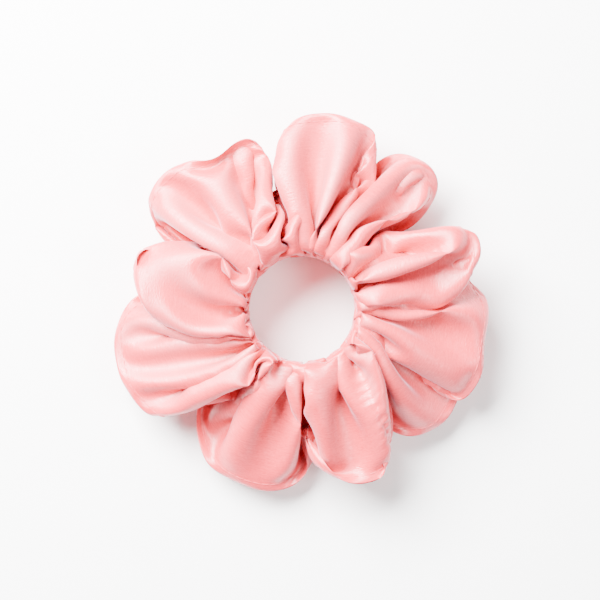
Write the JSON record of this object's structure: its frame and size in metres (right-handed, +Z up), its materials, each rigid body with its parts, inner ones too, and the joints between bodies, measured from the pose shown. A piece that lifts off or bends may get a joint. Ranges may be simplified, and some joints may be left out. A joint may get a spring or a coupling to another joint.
{
  "type": "scrunchie",
  "caption": "Elastic hair tie covered in a gathered satin tube, lying flat: the loop stretches open round hair and springs back.",
  "frame": {"origin": "on the surface the scrunchie lies on, under the middle of its outer box", "axes": "+Z up along the loop's axis, +X to the right and +Y away as seen from above with the closing seam at the near right"},
  "size_m": [0.1096, 0.1085, 0.0316],
  "materials": {
    "satin": "pale pink satin",
    "elastic": "flat woven elastic",
    "thread": "sewing thread"
  },
  "bodies": {
    "lobe_01": {"cover_lobe_01": "satin", "elastic_01": "elastic", "long_seam_thread_01": "thread", "closing_seam_thread": "thread", "elastic_join_thread": "thread"},
    "lobe_02": {"cover_lobe_02": "satin", "elastic_02": "elastic", "long_seam_thread_02": "thread"},
    "lobe_03": {"cover_lobe_03": "satin", "elastic_03": "elastic", "long_seam_thread_03": "thread"},
    "lobe_04": {"cover_lobe_04": "satin", "elastic_04": "elastic", "long_seam_thread_04": "thread"},
    "lobe_05": {"cover_lobe_05": "satin", "elastic_05": "elastic", "long_seam_thread_05": "thread"},
    "lobe_06": {"cover_lobe_06": "satin", "elastic_06": "elastic", "long_seam_thread_06": "thread"},
    "lobe_07": {"cover_lobe_07": "satin", "elastic_07": "elastic", "long_seam_thread_07": "thread"},
    "lobe_08": {"cover_lobe_08": "satin", "elastic_08": "elastic", "long_seam_thread_08": "thread"},
    "lobe_09": {"cover_lobe_09": "satin", "elastic_09": "elastic", "long_seam_thread_09": "thread"},
    "lobe_10": {"cover_lobe_10": "satin", "elastic_10": "elastic", "long_seam_thread_10": "thread"}
  },
  "joints": [
    {"name": "stretch_01", "type": "slide", "parent": "lobe_01", "child": "lobe_02", "axis": [0.4994, 0.8663, 0], "range_m": [0, 0.0144], "stiffness_N_per_m": 278},
    {"name": "stretch_02", "type": "slide", "parent": "lobe_02", "child": "lobe_03", "axis": [-0.0368, 0.9993, 0], "range_m": [0, 0.01442], "stiffness_N_per_m": 278},
    {"name": "stretch_03", "type": "slide", "parent": "lobe_03", "child": "lobe_04", "axis": [-0.5458, 0.8379, 0], "range_m": [0, 0.01345], "stiffness_N_per_m": 299},
    {"name": "stretch_04", "type": "slide", "parent": "lobe_04", "child": "lobe_05", "axis": [-0.9134, 0.407, 0], "range_m": [0, 0.0161], "stiffness_N_per_m": 249},
    {"name": "stretch_05", "type": "slide", "parent": "lobe_05", "child": "lobe_06", "axis": [-0.9554, -0.2954, 0], "range_m": [0, 0.02058], "stiffness_N_per_m": 195},
    {"name": "stretch_06", "type": "slide", "parent": "lobe_06", "child": "lobe_07", "axis": [-0.4571, -0.8894, 0], "range_m": [0, 0.01988], "stiffness_N_per_m": 202},
    {"name": "stretch_07", "type": "slide", "parent": "lobe_07", "child": "lobe_08", "axis": [0.2513, -0.9679, 0], "range_m": [0, 0.0173], "stiffness_N_per_m": 232},
    {"name": "stretch_08", "type": "slide", "parent": "lobe_08", "child": "lobe_09", "axis": [0.8477, -0.5305, 0], "range_m": [0, 0.02127], "stiffness_N_per_m": 189},
    {"name": "stretch_09", "type": "slide", "parent": "lobe_09", "child": "lobe_10", "axis": [0.951, 0.3092, 0], "range_m": [0, 0.02286], "stiffness_N_per_m": 176}
  ],
  "couplings": [
    {"joint": "stretch_02", "follows": "stretch_01", "ratio": 1},
    {"joint": "stretch_03", "follows": "stretch_01", "ratio": 0.93266},
    {"joint": "stretch_04", "follows": "stretch_01", "ratio": 1.1169},
    {"joint": "stretch_05", "follows": "stretch_01", "ratio": 1.4275},
    {"joint": "stretch_06", "follows": "stretch_01", "ratio": 1.3792},
    {"joint": "stretch_07", "follows": "stretch_01", "ratio": 1.1997},
    {"joint": "stretch_08", "follows": "stretch_01", "ratio": 1.4755},
    {"joint": "stretch_09", "follows": "stretch_01", "ratio": 1.5863}
  ]
}
